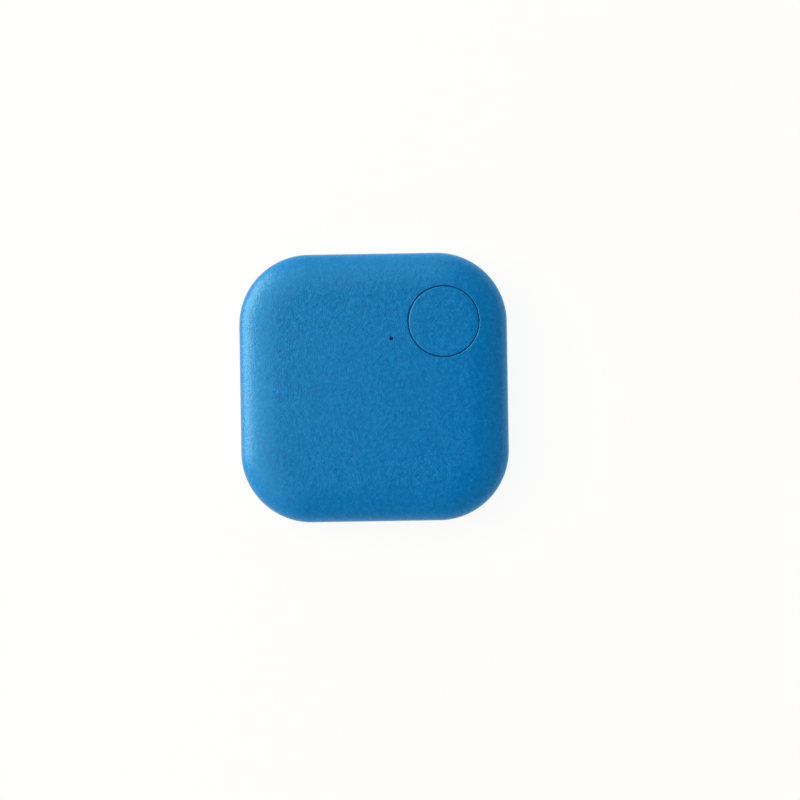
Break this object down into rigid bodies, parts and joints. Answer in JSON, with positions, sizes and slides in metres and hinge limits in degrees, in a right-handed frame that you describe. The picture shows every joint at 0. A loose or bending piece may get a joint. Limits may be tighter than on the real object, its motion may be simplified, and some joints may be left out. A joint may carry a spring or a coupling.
{
  "type": "bluetooth tracker tag",
  "caption": "Square tracker tag with rounded corners, a press button in its front, a sounder outlet, a coin cell and a circuit board between two snap-fit shells.",
  "frame": {"origin": "middle of the rear face, on the surface that the tag lies on", "axes": "+Z out of the front face, +X to the right and +Y up as the front is seen"},
  "size_m": [0.037, 0.037, 0.0065],
  "materials": {
    "case_plastic": "satin",
    "button_plastic": "satin",
    "foam": "matte",
    "cell_steel": "satin",
    "gasket_plastic": "satin",
    "cathode": "matte",
    "anode": "satin",
    "tray_plastic": "satin",
    "contact_metal": "satin",
    "board_laminate": "satin",
    "plated_copper": "satin",
    "screw_steel": "satin",
    "switch_plastic": "matte",
    "switch_steel": "satin",
    "plunger_plastic": "satin",
    "sounder_tape": "matte",
    "sounder_brass": "satin",
    "sounder_ceramic": "matte",
    "lead_red": "satin",
    "lead_black": "satin",
    "chip_resin": "satin",
    "crystal_metal": "satin",
    "ferrite": "matte",
    "capacitor_ceramic": "satin",
    "resistor_ceramic": "satin",
    "coil_ceramic": "satin"
  },
  "bodies": {
    "rear_case": {"rear_cover": "case_plastic", "battery_pad": "foam"},
    "front_case": {"front_shell": "case_plastic", "battery_tray": "tray_plastic", "positive_contact": "contact_metal", "negative_contact": "contact_metal", "circuit_board": "board_laminate", "aerial_trace": "plated_copper", "board_screw_1": "screw_steel", "board_screw_2": "screw_steel", "board_screw_3": "screw_steel", "switch_base": "switch_plastic", "switch_dome": "switch_steel", "switch_plate": "switch_steel", "sounder_tape": "sounder_tape", "sounder_plate": "sounder_brass", "sounder_ceramic": "sounder_ceramic", "sounder_lead_red": "lead_red", "sounder_lead_black": "lead_black", "radio_chip": "chip_resin", "radio_crystal": "crystal_metal", "watch_crystal": "crystal_metal", "boost_coil": "ferrite", "driver_transistor": "chip_resin", "diode": "chip_resin", "reservoir_capacitor": "capacitor_ceramic", "capacitor_1": "capacitor_ceramic", "capacitor_2": "capacitor_ceramic", "capacitor_3": "capacitor_ceramic", "capacitor_4": "capacitor_ceramic", "capacitor_5": "capacitor_ceramic", "capacitor_6": "capacitor_ceramic", "capacitor_7": "capacitor_ceramic", "capacitor_8": "capacitor_ceramic", "resistor_1": "resistor_ceramic", "resistor_2": "resistor_ceramic", "resistor_3": "resistor_ceramic", "resistor_4": "resistor_ceramic", "resistor_5": "resistor_ceramic", "resistor_6": "resistor_ceramic", "matching_coil_1": "coil_ceramic", "matching_coil_2": "coil_ceramic"},
    "battery": {"cell_can": "cell_steel", "cell_gasket": "gasket_plastic", "cell_cap": "cell_steel", "cell_cathode": "cathode", "cell_anode": "anode"},
    "button": {"button_cap": "button_plastic"},
    "switch_plunger": {"switch_plunger": "plunger_plastic"}
  },
  "joints": [
    {"name": "case_open", "type": "slide", "parent": "rear_case", "child": "front_case", "axis": [0, 0, 1], "range_m": [0, 0.014]},
    {"name": "battery_out", "type": "slide", "parent": "front_case", "child": "battery", "axis": [0, 0, -1], "range_m": [0, 0.007]},
    {"name": "button_press", "type": "slide", "parent": "front_case", "child": "button", "axis": [0, 0, -1], "range_m": [0, 0.00025], "stiffness_N_per_m": 6400},
    {"name": "switch_press", "type": "slide", "parent": "front_case", "child": "switch_plunger", "axis": [0, 0, -1], "range_m": [0, 0.00025], "deforming": ["switch_dome"]}
  ],
  "couplings": [
    {"joint": "battery_out", "follows": "case_open", "ratio": 0.5},
    {"joint": "switch_press", "follows": "button_press", "ratio": 1}
  ]
}
